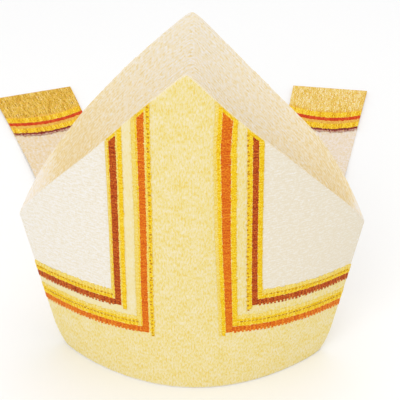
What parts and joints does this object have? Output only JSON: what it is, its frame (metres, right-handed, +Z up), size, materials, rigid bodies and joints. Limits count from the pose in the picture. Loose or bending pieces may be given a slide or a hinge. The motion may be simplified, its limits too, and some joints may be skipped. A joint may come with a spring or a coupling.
{
  "type": "bishop mitre",
  "caption": "Two-horned bishop's mitre of woven cloth with gold orphreys, striped braids, a folding crown web and lappets laid out behind it.",
  "frame": {"origin": "middle of the head opening, in the plane of the rim, which is the surface that the mitre stands on", "axes": "+Z up towards the peaks, -Y to the front, +Y to the back, where the lappets lie, +X to the right seen from the front"},
  "size_m": [0.4532, 0.5399, 0.337],
  "materials": {
    "cream_cloth": "matte woven wool",
    "gold_cloth": "slubbed gold weave",
    "orange_braid": "orange thread with yellow edges",
    "brown_braid": "rust brown thread with yellow edges",
    "web_cloth": "soft matte cloth",
    "lappet_cloth": "matte woven wool",
    "gold_border": "mottled gold weave with striped lines"
  },
  "bodies": {
    "root": {"front_horn": "cream_cloth", "back_horn": "cream_cloth", "front_orphrey": "gold_cloth", "back_orphrey": "gold_cloth", "front_left_orange_braid": "orange_braid", "front_right_orange_braid": "orange_braid", "front_left_brown_braid": "brown_braid", "front_right_brown_braid": "brown_braid", "back_left_orange_braid": "orange_braid", "back_right_orange_braid": "orange_braid", "back_left_brown_braid": "brown_braid", "back_right_brown_braid": "brown_braid", "crown_web": "web_cloth", "lappet_left": "lappet_cloth", "lappet_right": "lappet_cloth", "lappet_left_border": "gold_border", "lappet_right_border": "gold_border"}
  },
  "joints": []
}
